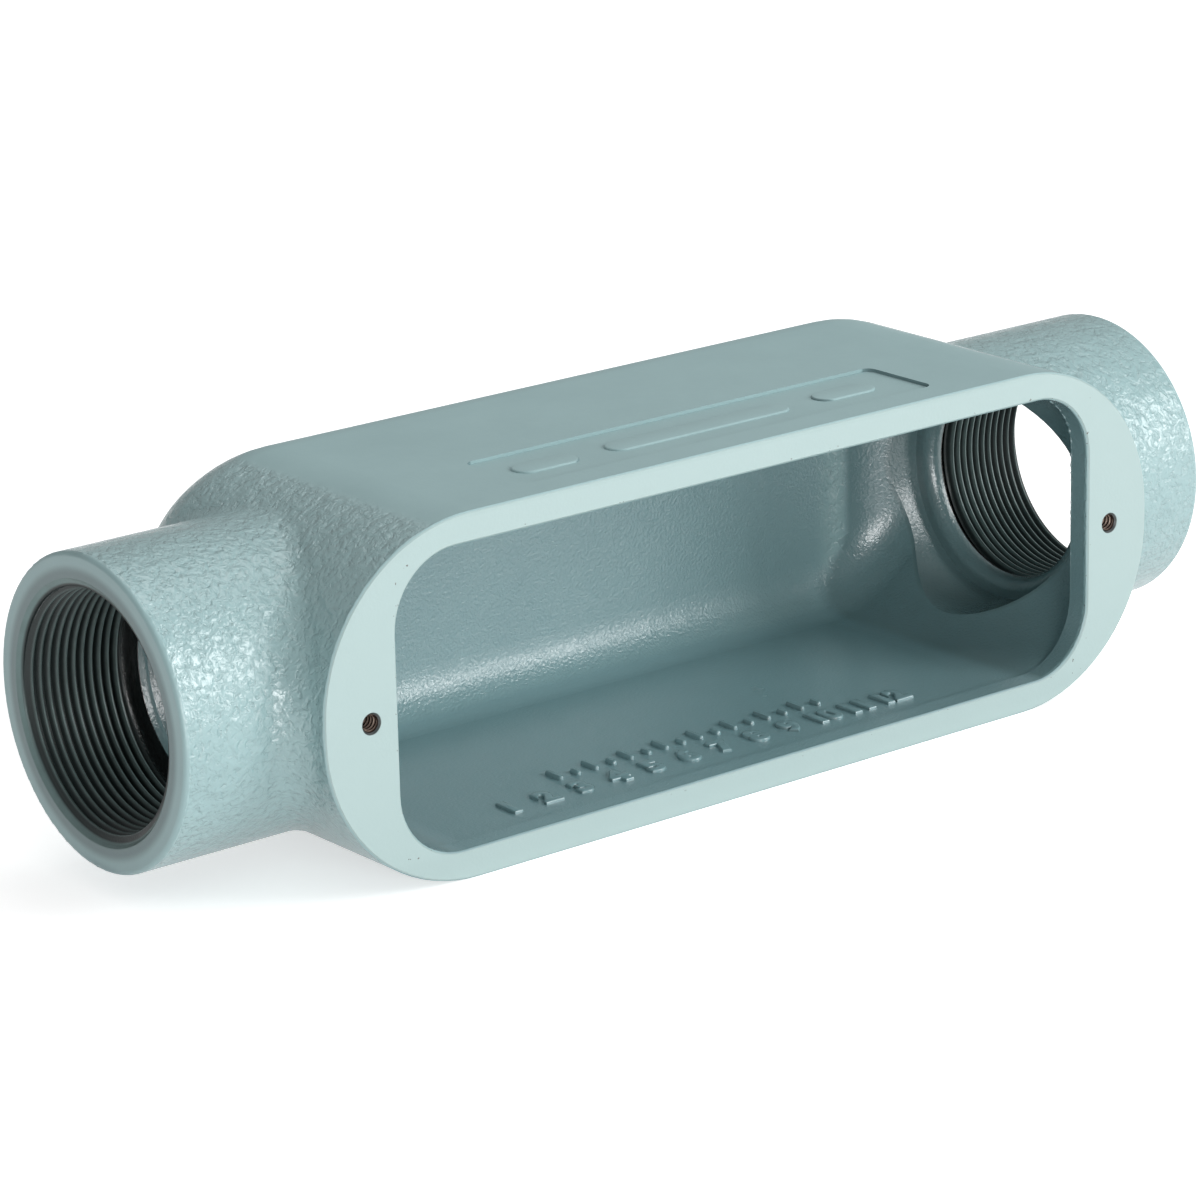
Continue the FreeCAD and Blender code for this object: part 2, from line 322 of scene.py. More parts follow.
class NodeBench:
    """A node tree, and the few ways in which this file adds nodes to it."""

    def __init__(self, owner: bpy.types.Material | bpy.types.World) -> None:
        """Empty the owner's tree.

        Args:
            owner: The material or world that the nodes are for.
        """
        self.owner = owner
        owner.use_nodes = True
        self.tree = owner.node_tree
        self.tree.nodes.clear()

    @cached_property
    def place(self) -> bpy.types.NodeSocket:
        """The object coordinates."""
        return self.node("ShaderNodeTexCoord").outputs["Object"]

    def node(
        self,
        kind: str,
        settings: dict[str, Any] | None = None,
        inputs: dict[Any, Any] | None = None,
    ) -> bpy.types.Node:
        """Add a node.

        Args:
            kind: The node's type.
            settings: Its own properties, set before its sockets.
            inputs: Value, reading or socket for each input, by name or number.

        Returns:
            The node.
        """
        made = self.tree.nodes.new(kind)
        for key, setting in (settings or {}).items():
            setattr(made, key, setting)
        for key, given in (inputs or {}).items():
            if isinstance(given, Reading):
                given = given.socket
            if isinstance(given, bpy.types.NodeSocket):
                self.tree.links.new(given, made.inputs[key])
            else:
                made.inputs[key].default_value = given
        return made

    def maths(self, operation: str, terms: Sequence["Reading | float"]) -> Reading:
        """A Math node.

        Args:
            operation: Name of the operation.
            terms: Its inputs in order.

        Returns:
            Its result.
        """
        node = self.node("ShaderNodeMath", {"operation": operation}, dict(enumerate(terms)))
        return Reading(self, node.outputs[0])

    def axes(self) -> tuple[Reading, Reading, Reading]:
        """The three object coordinates."""
        split = self.node("ShaderNodeSeparateXYZ", inputs={0: self.place})
        return tuple(Reading(self, split.outputs[letter]) for letter in "XYZ")

    def facing(self) -> tuple[Reading, Reading, Reading]:
        """The three parts of the surface's own direction, in object space."""
        direction = self.node("ShaderNodeTexCoord").outputs["Normal"]
        split = self.node("ShaderNodeSeparateXYZ", inputs={0: direction})
        return tuple(Reading(self, split.outputs[letter]) for letter in "XYZ")

    def noise(self, size: float, detail: float, roughness: float, swirl: float = 0.0) -> Reading:
        """Fractal noise about one half.

        Args:
            size: Size of its largest features, in metres.
            detail: Octaves above the first.
            roughness: Share of the finer octaves.
            swirl: How far the pattern is distorted.

        Returns:
            The noise, from 0 to 1.
        """
        node = self.node(
            "ShaderNodeTexNoise",
            inputs={
                "Vector": self.place,
                "Scale": 1.0 / size,
                "Detail": detail,
                "Roughness": roughness,
                "Distortion": swirl,
            },
        )
        return Reading(self, node.outputs["Fac"])

    def blend(self, share: Reading, under: Any, over: Any) -> bpy.types.NodeSocket:
        """Mix of two colours.

        Args:
            share: How much of the second there is.
            under: First colour, or a socket that carries it.
            over: Second colour, or a socket that carries it.

        Returns:
            The mixed colour.
        """
        colours = {
            6: (*under, 1.0) if isinstance(under, tuple) else under,
            7: (*over, 1.0) if isinstance(over, tuple) else over,
        }
        node = self.node("ShaderNodeMix", {"data_type": "RGBA"}, {0: share, **colours})
        return node.outputs[2]

    def bump(self, height: Reading, distance: float) -> bpy.types.NodeSocket:
        """Bumps for a shader's normal.

        Args:
            height: Their height, as a share of distance.
            distance: The height for a share of 1, in metres.

        Returns:
            The bumped normal.
        """
        inputs = {"Strength": 1.0, "Distance": distance, "Height": height}
        return self.node("ShaderNodeBump", inputs=inputs).outputs["Normal"]

    def finish(self, inputs: dict[str, Any]) -> bpy.types.Material:
        """Add the surface shader and the output.

        Args:
            inputs: Inputs of the surface shader.

        Returns:
            The finished material.
        """
        shader = self.node("ShaderNodeBsdfPrincipled", inputs=inputs)
        self.node("ShaderNodeOutputMaterial", inputs={"Surface": shader.outputs[0]})
        return self.owner


# ---------------------------------------------------------------- surfaces


def grid_faces(rows: int, columns: int, rows_close: bool, columns_close: bool) -> np.ndarray:
    """Quads of a grid whose points are numbered row by row.

    Face (i, j) joins point (i, j) to its neighbours in the next row and the next column; a
    closed direction takes its last neighbour from the start.

    Args:
        rows: Number of rows.
        columns: Number of columns.
        rows_close: True if the last row joins the first.
        columns_close: True if the last column joins the first.

    Returns:
        Point numbers, four to a face.
    """
    down = np.arange(rows if rows_close else rows - 1)[:, None]
    along = np.arange(columns if columns_close else columns - 1)[None, :]
    next_down, next_along = (down + 1) % rows, (along + 1) % columns
    corners = (
        down * columns + along,
        next_down * columns + along,
        next_down * columns + next_along,
        down * columns + next_along,
    )
    shape = (down.size, along.size)
    return np.stack([np.broadcast_to(corner, shape).ravel() for corner in corners], axis=1)


@dataclass
class Skin:
    """A surface as arrays: points, and faces as four point numbers each."""

    points: np.ndarray
    faces: np.ndarray

    def joined(self, others: Iterable["Skin"]) -> "Skin":
        """This surface and others in one.

        Args:
            others: Surfaces to add.

        Returns:
            The joined surface.
        """
        skins = [self, *others]
        starts = np.cumsum([0, *(len(skin.points) for skin in skins[:-1])])
        faces = np.concatenate([skin.faces + start for skin, start in zip(skins, starts)])
        return Skin(np.concatenate([skin.points for skin in skins]), faces)

    def welded(self) -> tuple[np.ndarray, np.ndarray]:
        """Points that lie together become one, and triangles without area go.

        Two points are one if their coordinates, rounded to a tenth of a micron, are equal.

        Returns:
            The points, and the triangles' point numbers.
        """
        keys = np.round(self.points * 1e7).astype(np.int64)
        _, first, which = np.unique(keys, axis=0, return_index=True, return_inverse=True)
        quads = which.reshape(-1)[self.faces]
        triangles = np.concatenate([quads[:, [0, 1, 2]], quads[:, [0, 2, 3]]])
        a, b, c = triangles.T
        return self.points[first], triangles[(a != b) & (b != c) & (c != a)]

    def piece(self, name: str, crease: float) -> bpy.types.Object:
        """Make the surface a piece that rides on the casting.

        Args:
            name: Name of the piece.
            crease: Edges that turn by more than this, in degrees, stay sharp.

        Returns:
            The piece.
        """
        points, triangles = self.welded()
        mesh = bpy.data.meshes.new(name)
        mesh.from_pydata(points, [], triangles)
        shell = bmesh.new()
        shell.from_mesh(mesh)
        bmesh.ops.recalc_face_normals(shell, faces=shell.faces)
        shell.to_mesh(mesh)
        shell.free()
        mesh.shade_smooth()
        mesh.set_sharp_from_angle(angle=math.radians(crease))
        made = bpy.data.objects.new(name, mesh)
        bpy.context.scene.collection.objects.link(made)
        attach(made, BODY)
        return made


# ---------------------------------------------------------------- the casting


@dataclass
class Casting:
    """Places on the casting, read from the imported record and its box, in metres."""

    low: Vector
    high: Vector
    mounts: dict[str, dict[str, Any]]
    wall: float = 6.4 * MM
    lip: float = 6.0 * MM
    back_edge: float = 18.5 * MM
    half_opening: Span = (104.75 * MM, 35.4 * MM)
    opening_corner: float = 16.8 * MM

    @classmethod
    def from_frame(cls, loaded: dict[str, Any]) -> "Casting":
        """Read the casting.


        Returns:
            The casting's places.
        """
        low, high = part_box(NODE)
        mounts = {mount["name"]: mount for mount in loaded["record"]["mounts"]}
        return cls(low, high, mounts)

    @property
    def half_length(self) -> float:
        """Middle to the mouth of a hub."""
        return self.high.x

    @property
    def front(self) -> float:
        """Y of the cover flange."""
        return self.low.y

    @property
    def middle(self) -> float:
        """Z of the plane halfway between the flat sides."""
        return (self.low.z + self.high.z) / 2

    @property
    def axis_y(self) -> float:
        """Y of the hubs' axis."""
        return self.mounts["hub_right"]["pos_m"][1]

    @property
    def bore(self) -> float:
        """Radius of the bore in which the conduit thread is cut."""
        return self.mounts["hub_right"]["dims"]["r_mm"] * MM

    @property
    def tapped(self) -> Span:
        """Where the threaded bore starts and ends, out from the middle."""
        centre = self.mounts["hub_right"]["pos_m"][0]
        half = self.mounts["hub_right"]["dims"]["length_mm"] * MM / 2
        return centre - half, centre + half

    @property
    def screw_x(self) -> float:
        """Middle to a cover screw."""
        return self.mounts["cover_screws"]["dims"]["spacing_x_mm"] * MM / 2

    @property
    def screw_bore(self) -> float:
        """Radius of a cover screw's hole."""
        return self.mounts["cover_screws"]["dims"]["hole_r_mm"] * MM


@dataclass
class CastSkin:
    """The painted skin of the casting: which finish lies where, as masks of place."""

    casting: Casting
    enamel: Enamel = field(default_factory=Enamel)
    metal: ThreadMetal = field(default_factory=ThreadMetal)
    places: SkinPlaces = field(default_factory=SkinPlaces)
    mix: GrainMix = field(default_factory=GrainMix)

    def material(self) -> bpy.types.Material:
        """Enamel whose cast grain changes from zone to zone.

        The flange and the hubs' rims are machined and smooth, the flat sides and the inside
        floor nearly so.  The hubs and the round ends carry the grain of the sand in full,
        and the hollow carries a finer share of it.

        Returns:
            The material.
        """
        cast, paint, at, mix = self.casting, self.enamel, self.places, self.mix
        bench = NodeBench(bpy.data.materials.new("grey_enamel"))
        x, y, z = bench.axes()
        along = x.size()
        across = (z - cast.middle).size()
        depth = y - cast.front
        off_axis = (y - cast.axis_y).length_with(z - cast.middle)
        half_width = cast.middle - cast.low.z
        start, _ = cast.tapped

        # Smooth and rough parts of the outside.
        rim = along.ramp(*back_from(cast.half_length, at.rim))
        machined = depth.ramp(*at.flange).most(rim)
        flat_side = across.ramp(*back_from(half_width, at.flat_side))
        inside_floor = z.ramp(*out_from(cast.wall, at.floor_rise))
        inside_floor = inside_floor * across.ramp(*back_from(half_width, at.floor_inset))
        coarse = (1.0 - machined) * (1.0 - flat_side) * (1.0 - mix.floor_smoothness * inside_floor)
        open_skin = coarse * (mix.least + along.ramp(*at.round_ends)).least(1.0)

        # The hollow, the throats of the hubs, and the end walls that face inwards.
        edge = cast.back_edge
        to_side = (across - (half_width - edge)).most(0.0)
        to_back = (y - (cast.high.y - edge)).most(0.0)
        buried = (edge - to_side.length_with(to_back)).ramp(*at.buried)
        hollow = buried * depth.ramp(*at.hollow_depth) * along.ramp(*at.hollow_reach)
        throat = off_axis.ramp(*at.throat) * along.ramp(*back_from(start, at.throat_reach))
        inward = (x * bench.facing()[0]).ramp(*at.turned_in) * depth.ramp(*at.turned_depth)
        inward = inward * along.ramp(*back_from(cast.half_length, at.turned_reach))
        ends = inward.most(throat)
        cavity = hollow.most(ends).most(inside_floor)

        # The relief, as shares of the height of the grain.
        strength = open_skin * (1.0 - cavity)
        grain = bench.noise(paint.grain_size, 3.0, 0.55, 0.45)
        fine = bench.noise(paint.grain_size * 0.55, 2.0, 0.5, 0.4)
        coarser = bench.noise(paint.grain_size * 2.4, 2.0, 0.5, 0.5)
        ripple = bench.noise(paint.ripple_size, 2.0, 0.45)
        peel = bench.noise(0.75 * MM, 1.0, 0.5)
        ridge = ((grain - 0.5) * (grain - 0.5) + mix.crinkle_blunting).root()
        crinkle = mix.crinkle_top - ridge
        fine_share = mix.fine - mix.fine_lost_at_ends * ends
        relief = (
            (crinkle * mix.crinkle + (grain - 0.5) * mix.plain) * strength
            + (coarser - 0.5) * strength
            + (fine - 0.5) * cavity * coarse * fine_share
            + (ripple - 0.5) * (paint.ripple_height / paint.grain_height) * (1.0 - machined)
            + (peel - 0.5) * mix.peel
        )

        # The paint, with painted shade darkening the hollow, and chipped along the opening.
        mottle = bench.noise(22 * MM, 4.0, 0.6)
        colour = bench.blend((mottle - 0.5) * 1.1 + 0.3, paint.colour, paint.thin_colour)
        # Painted shade: the hollow, its floor and its end walls most of all, is blended towards a
        # darker colour.
        shade = (0.60 + mottle * 0.3 + inside_floor * 0.45 + ends * 0.3).least(1.0)
        colour = bench.blend(cavity * shade, colour, paint.hollow_colour)
        colour = bench.blend(depth.ramp(*at.flange_paint) * 0.9, colour, paint.face_colour)
        length, breadth = cast.half_opening
        at_opening = along.ramp(*out_from(length, at.chipped))
        at_opening = at_opening * across.ramp(*out_from(breadth, at.chipped))
        near_rim = depth.ramp(*at.chipped_depth) * at_opening
        chips = bench.noise(1.7 * MM, 2.0, 0.6).ramp(0.70, 0.715) * near_rim
        colour = bench.blend(chips, colour, paint.chip_colour)

        # Painted shade in the hubs' throats and on the end walls that face inwards; bare iron
        # behind the threads and in the screws' holes.
        tapped = off_axis.ramp(*at.tapped) * along.ramp(*back_from(start, at.tapped_reach))
        off_screw = (along - cast.screw_x).length_with(z - cast.middle)
        at_screw = off_screw.ramp(*out_from(cast.screw_bore, at.screw))
        bare = tapped.most(at_screw * depth.ramp(*out_from(cast.lip, at.screw_depth)))
        # Painted shade: the hubs' throats and the inward end walls are darkened.
        colour = bench.blend((throat * 0.62).most(inward * 0.42), colour, paint.damp_colour)
        # The bare iron takes the threads' near-black painted shade.
        colour = bench.blend(bare, colour, self.metal.groove)

        dulling = (mix.machined_dulling * machined).most(mix.flat_dulling * flat_side)
        return bench.finish(
            {
                "Base Color": colour,
                "Roughness": paint.roughness + (mottle - 0.5) * paint.roughness_play + dulling,
                "Coat Weight": (1.0 - bare) * paint.coat,
                "Coat Roughness": paint.coat_roughness,
                "Specular IOR Level": paint.gloss,
                "Normal": bench.bump(relief, paint.grain_height),
            }
        )

    def paint(self, node: bpy.types.Object) -> None:
        """Give the casting its finish.

        Args:
            node: The casting's object in the frame.
        """
        node.data.materials.clear()
        node.data.materials.append(self.material())


# ---------------------------------------------------------------- threads


@dataclass
class ThreadCut:
    """A screw thread that lines a round hole along one axis.

    The height of the thread over its root, as a share of its depth, is a trapezium wave of
    the phase p = distance / pitch - angle / turn: nought near p = 0, full near p = 1/2, and
    straight flanks between.  Rows of the grid follow lines of constant phase, so that crest
    and root run true round the hole.
    """

    name: str
    axis: int
    centre: tuple[float, float, float]
    span: Span
    root: float
    crest: Span
    pitch: float
    backing: float
    flare: Span = (0.0, 0.0)
    columns: int = 256
    knees: tuple[float, ...] = (0.07, 0.18, 0.31, 0.43, 0.57, 0.69, 0.82, 0.93)

    def root_at(self, distance: np.ndarray) -> np.ndarray:
        """Radius of the root: constant, and opening by 45 degrees along the flare of each end.

        Args:
            distance: Place along the hole.

        Returns:
            The radius of the root there.
        """
        low, high = self.span
        from_low = np.maximum(0.0, low + self.flare[0] - distance)
        from_high = np.maximum(0.0, distance - high + self.flare[1])
        return self.root + from_low + from_high

    def radius(self, distance: np.ndarray, phase: np.ndarray) -> np.ndarray:
        """Radius of the thread: its root, less its depth at that distance times the wave.

        The wave is held to nought and one after 1.3 |2 p - 1| is taken from 1.15, so that
        the crest and the root have flats.  The depth dies away over the last part of a
        turn at both ends.

        Args:
            distance: Place along the hole.
            phase: Turns of the thread passed there.

        Returns:
            The radius of each point.
        """
        low, high = self.span
        wave = np.clip(1.15 - 1.3 * np.abs(2.0 * (phase % 1.0) - 1.0), 0.0, 1.0)
        share = (distance - low) / (high - low)
        depth = self.root - self.crest[0] + (self.crest[0] - self.crest[1]) * share
        fade = np.clip(np.minimum(distance - low, high - distance) / (0.6 * self.pitch), 0.15, 1.0)
        return self.root_at(distance) - depth * fade * wave

    def skin(self) -> Skin:
        """The lining: thread inside, a plain cylinder behind it, closed at both ends.

        Returns:
            The closed surface.
        """
        low, high = self.span
        angle = np.linspace(0.0, TURN, self.columns + 1)[None, :]
        turns = np.arange(math.floor(low / self.pitch) - 1, math.ceil(high / self.pitch) + 1)
        phase = (turns[:, None] + np.array(self.knees)[None, :]).reshape(-1, 1)
        distance = np.clip(self.pitch * (phase + angle / TURN), low, high)
        radius = self.radius(distance, distance / self.pitch - angle / TURN)
        first, last = np.full((1, angle.size), low), np.full((1, angle.size), high)
        behind = [self.root_at(end) + self.backing for end in (first, last)]
        radius = np.concatenate([behind[0], radius, behind[1]])
        distance = np.concatenate([first, distance, last])
        across = [radius * np.cos(angle), radius * np.sin(angle)]
        order = {0: (distance, *across), 1: (across[1], distance, across[0])}[self.axis]
        points = np.stack(order, axis=-1).reshape(-1, 3) + np.array(self.centre)
        return Skin(points, grid_faces(radius.shape[0], radius.shape[1], True, False))


@dataclass
class HubThreads:
    """The tapped mouths of both hubs: 11.5 threads to the inch, tapering one in sixteen."""

    casting: Casting
    metal: ThreadMetal = field(default_factory=ThreadMetal)
    pitch: float = 25.4 * MM / 11.5
    clearance: float = 0.03 * MM
    backing: float = 0.5 * MM
    mouth_crest: float = 27.7 * MM
    inner_crest: float = 27.0 * MM

    def material(self) -> bpy.types.Material:
        """Metal that brightens from near-black painted shade in the grooves to the crest.

        Returns:
            The material.
        """
        cast, metal = self.casting, self.metal
        bench = NodeBench(bpy.data.materials.new("oiled_thread"))
        _, y, z = bench.axes()
        off_axis = (y - cast.axis_y).length_with(z - cast.middle)
        smear = bench.noise(5 * MM, 3.0, 0.6)
        toward_crest = off_axis.ramp(28.2 * MM, 27.3 * MM) * (0.55 + smear * 0.9)
        tear = bench.noise(0.5 * MM, 2.0, 0.6)
        painted = off_axis.ramp(cast.bore + 0.25 * MM, cast.bore + 0.9 * MM) * (0.65 + smear * 0.5)
        # Painted shade, near-black in the grooves, lighter towards the crests.
        colour = bench.blend(toward_crest.least(1.0), metal.groove, metal.crest)
        return bench.finish(
            {
                "Base Color": bench.blend(painted.least(1.0), colour, metal.mouth),
                "Metallic": metal.metallic,
                "Roughness": metal.roughness + (smear - 0.5) * 0.2,
                "Normal": bench.bump(tear - 0.5, 0.05 * MM),
            }
        )

    def build(self) -> list[bpy.types.Object]:
        """Cut both threads.

        Returns:
            One piece for each hub.
        """
        cast, finish = self.casting, self.material()
        pieces = []
        mouth = cast.half_length - self.clearance
        flare = mouth - cast.tapped[1]
        for side in Side:
            ends = sorted(side.value * place for place in (cast.tapped[0], mouth))
            crests = (self.inner_crest, self.mouth_crest)
            flares = (0.0, flare)
            cut = ThreadCut(
                name=f"hub_thread_{side.word}",
                axis=0,
                centre=(0.0, cast.axis_y, cast.middle),
                span=(ends[0], ends[1]),
                root=cast.bore - self.clearance,
                crest=crests if side is Side.RIGHT else crests[::-1],
                pitch=self.pitch,
                backing=self.backing,
                flare=flares if side is Side.RIGHT else flares[::-1],
            )
            piece = cut.skin().piece(cut.name, 35.0)
            piece.data.materials.append(finish)
            pieces.append(piece)
        return pieces


@dataclass
class ScrewThreads:
    """The tapped holes of the cover screws, 24 threads to the inch."""

    casting: Casting
    metal: ScrewMetal = field(default_factory=ScrewMetal)
    pitch: float = 25.4 * MM / 24
    crest: float = 1.72 * MM
    clearance: float = 0.02 * MM
    countersink: float = 0.5 * MM

    def material(self) -> bpy.types.Material:
        """Bare metal, bright on the crests and rusty between them.

        Returns:
            The material.
        """
        cast, metal = self.casting, self.metal
        bench = NodeBench(bpy.data.materials.new("bare_screw_hole"))
        x, _, z = bench.axes()
        off_axis = (x.size() - cast.screw_x).length_with(z - cast.middle)
        speck = bench.noise(0.6 * MM, 3.0, 0.65)
        bright = off_axis.ramp(2.0 * MM, 1.75 * MM) * (0.5 + speck)
        return bench.finish(
            {
                "Base Color": bench.blend(bright.least(1.0), metal.rust, metal.crest),
                "Metallic": metal.metallic,
                "Roughness": metal.roughness + (speck - 0.5) * 0.3,
                "Normal": bench.bump(speck - 0.5, 0.04 * MM),
            }
        )

    def build(self) -> list[bpy.types.Object]:
        """Cut both threads.

        Returns:
            One piece for each hole.
        """
        cast, finish = self.casting, self.material()
        pieces = []
        for side in Side:
            cut = ThreadCut(
                name=f"screw_thread_{side.word}",
                axis=1,
                centre=(side.value * cast.screw_x, cast.front, cast.middle),
                span=(self.countersink, cast.lip - 0.1 * MM),
                root=cast.screw_bore - self.clearance,
                crest=(self.crest, self.crest),
                pitch=self.pitch,
                backing=0.3 * MM,
                columns=96,
            )
            piece = cut.skin().piece(cut.name, 35.0)
            piece.data.materials.append(finish)
            pieces.append(piece)
        return pieces


# ---------------------------------------------------------------- rough rim and cast marks


def rounded_path(half: Span, corner: float, step: float) -> tuple[np.ndarray, np.ndarray]:
    """A rectangle with round corners as evenly spaced points, with its outward directions.

    The path is the set of points at one corner radius from a smaller rectangle: each point
    is its nearest point on that rectangle plus the radius times the outward direction.

    Args:
        half: Half its length and half its height.
        corner: Radius of its corners.
        step: Distance between points.

    Returns:
        Points and outward unit vectors, two columns each.
    """
    inner = np.array(half) - corner
    quarter = corner * math.pi / 2
    lengths = np.array([2 * inner[0], quarter, 2 * inner[1], quarter] * 2)
    total = lengths.sum()
    starts = np.concatenate([[0.0], np.cumsum(lengths)])
    travelled = np.arange(round(total / step)) * total / round(total / step)
    part = np.searchsorted(starts, travelled, side="right") - 1
    share = (travelled - starts[part]) / lengths[part]
    turned = (part // 2 + np.where(part % 2 == 1, share, 0.0)) * math.pi / 2
    outward = np.stack([np.sin(turned), -np.cos(turned)], axis=1)
    corners = np.array([[-1, -1], [1, -1], [1, 1], [-1, 1]]) * inner
    before = corners[(part + 1) // 2 % 4]
    after = corners[np.where(part % 2 == 1, (part + 1) // 2, part // 2 + 1) % 4]
    along = np.where(part % 2 == 1, 0.0, share)[:, None]
    return before + (after - before) * along + outward * corner, outward


def wander(length: int, waves: Sequence[tuple[int, float]], seed: int) -> np.ndarray:
    """A rough closed run of numbers: a sum of sines of random phase.

    Args:
        length: How many numbers.
        waves: Number of waves round the run, and height, of each band.
        seed: Start of the random phases.

    Returns:
        The run; its last number leads on to its first.
    """
    chance = np.random.default_rng(seed)
    turn = np.arange(length) * TURN / length
    run = np.zeros(length)
    for count, height in waves:
        counts = chance.integers(count // 2, count, 12)
        phases = chance.uniform(0.0, TURN, 12)
        run += height * np.sin(np.outer(turn, counts) + phases).mean(axis=1)
    return run


@dataclass
class CoreRim:
    """The rough bead that the core left along the inner edge of the cover opening.

    A round section of uneven radius is carried along the opening's outline, just behind the
    machined lip.
    """

    casting: Casting
    radius: float = 0.34 * MM
    sink: float = 0.14 * MM
    step: float = 0.45 * MM
    faintest: float = 0.45
    section: int = 8

    def skin(self) -> Skin:
        """The bead as a closed tube.

        Returns:
            The closed surface.
        """
        cast = self.casting
        path, outward = rounded_path(cast.half_opening, cast.opening_corner, self.step)
        count = len(path)
        upper = 0.5 + 0.5 * path[:, 1] / cast.half_opening[1]
        vigour = self.faintest + (1.0 - self.faintest) * upper**2
        swell = vigour * (1.0 + wander(count, ((60, 1.0), (260, 1.8), (620, 1.2)), 11) * upper)
        radius = self.radius * np.clip(swell, 0.25, 1.8)[:, None]
        drift = wander(count, ((40, 0.5), (200, 0.6)), 23)[:, None] * MM
        angle = np.arange(self.section)[None, :] * TURN / self.section
        out = self.sink + radius * np.cos(angle)
        back = cast.lip - self.sink + drift * 0.4 + radius * np.sin(angle)
        points = np.stack(
            [
                path[:, :1] + outward[:, :1] * out,
                cast.front + back,
                cast.middle + path[:, 1:] + outward[:, 1:] * out,
            ],
            axis=-1,
        )
        return Skin(points.reshape(-1, 3), grid_faces(count, self.section, True, True))

    def build(self, finish: bpy.types.Material) -> bpy.types.Object:
        """Lay the bead.

        Args:
            finish: The casting's enamel.

        Returns:
            The piece.
        """
        piece = self.skin().piece("core_rim", 60.0)
        piece.data.materials.append(finish)
        return piece


def pillow(centre: Span, half: Span, height: float, edge: float, columns: int = 20) -> Skin:
    """A raised bar with a rounded outline and a crowned top.

    Rings shrink from the bar's outline inwards.  Ring k lies at share s of the way in, with
    s from 0 to 1, and stands at height times the sine of a quarter turn times s, so that the
    top is a flat-crowned pillow; each ring is a rounded rectangle.

    Args:
        centre: Middle of the bar on its plane.
        half: Half its length and half its breadth.
        height: Height of its crown.
        edge: Breadth of its rounded shoulder.
        columns: Points in each quarter of a ring.

    Returns:
        The closed surface, on the plane of the first two coordinates, with its foot sunk.
    """
    turn = (np.arange(4 * columns) + 0.5) * TURN / (4 * columns)
    direction = np.stack([np.cos(turn), np.sin(turn)], axis=1)
    radius = min(half)
    inner = np.array(half) - radius
    share = np.sin(np.linspace(0.0, 1.0, 6) * math.pi / 2)
    levels = np.concatenate([[-1.0], share])
    inset = np.concatenate([[0.0], 1.0 - np.sqrt(1.0 - share**2)])
    around = len(turn)
    corners = np.sign(direction) * inner
    rings = [
        np.column_stack(
            [corners + direction * (radius - edge * step), np.full(around, height * level)]
        )
        for level, step in zip(levels, inset)
    ]
    spine = [np.column_stack([corners, np.full(around, end)]) for end in (-height, height)]
    points = np.concatenate([spine[0], *rings, spine[1]]) + np.array([*centre, 0.0])
    return Skin(points, grid_faces(len(points) // around, around, False, True))


